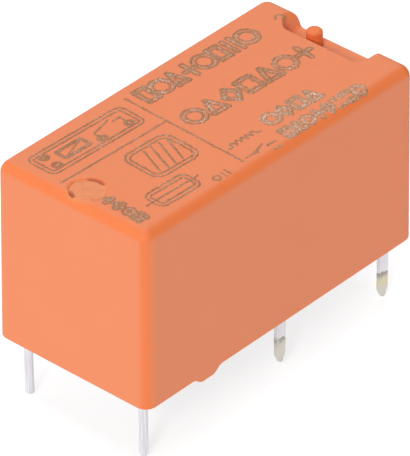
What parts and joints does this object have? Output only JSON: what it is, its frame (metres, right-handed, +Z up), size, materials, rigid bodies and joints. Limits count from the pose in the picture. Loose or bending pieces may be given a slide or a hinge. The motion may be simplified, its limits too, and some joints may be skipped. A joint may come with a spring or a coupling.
{
  "type": "electromagnetic relay",
  "caption": "Sealed miniature power relay for a circuit board: orange box cover, two round coil pins, two flat contact pins, clapper mechanism inside.",
  "frame": {"origin": "axis of coil pin 1 (the coil pin on the contact side) where it enters the board surface", "axes": "+X along the body towards the contact end, +Y across the body towards coil pin 2, +Z up from the board"},
  "size_m": [0.02, 0.0099, 0.0141],
  "materials": {
    "cover": "satin moulded thermoplastic polyester",
    "resin": "cast epoxy",
    "base": "satin",
    "bobbin": "satin",
    "copper": "enamelled copper wire",
    "tape": "polyester tape",
    "iron": "nickel-plated soft iron",
    "tinned": "tinned copper alloy",
    "spring_bronze": "rolled phosphor bronze",
    "silver": "silver alloy"
  },
  "bodies": {
    "housing": {"cover": "cover", "sealing_resin": "resin", "base": "base", "bobbin": "bobbin", "coil_winding": "copper", "coil_tape": "tape", "core": "iron", "heel_yoke": "iron", "pole_piece": "iron", "coil_pin_right": "tinned", "coil_pin_left": "tinned", "lead_wire_right": "copper", "lead_wire_left": "copper", "return_spring": "spring_bronze", "common_terminal": "tinned", "fixed_terminal": "tinned", "fixed_contact": "silver"},
    "armature": {"armature": "iron"},
    "card": {"actuator_card": "bobbin"},
    "contact_arm": {"contact_spring": "spring_bronze", "moving_contact": "silver"}
  },
  "joints": [
    {"name": "armature_hinge", "type": "hinge", "parent": "housing", "child": "armature", "pos_m": [0.0002, 0.00696, 0.006], "axis": [0, 0, -1], "range_deg": [0, 1.67], "stiffness_Nm_per_rad": 0.01, "springref_deg": -2.86, "deforming": ["return_spring"]},
    {"name": "card_slide", "type": "slide", "parent": "housing", "child": "card", "axis": [0, -1, 0], "range_m": [0, 0.00046]},
    {"name": "contact_spring_bend", "type": "hinge", "parent": "housing", "child": "contact_arm", "pos_m": [0.012, 0.00127, 0.006], "axis": [0, 0, -1], "range_deg": [0, 4.61], "deforming": ["contact_spring"]}
  ],
  "couplings": [
    {"joint": "card_slide", "follows": "armature_hinge", "m_per_rad": 0.015402},
    {"joint": "contact_spring_bend", "follows": "armature_hinge", "ratio": 2.726}
  ]
}
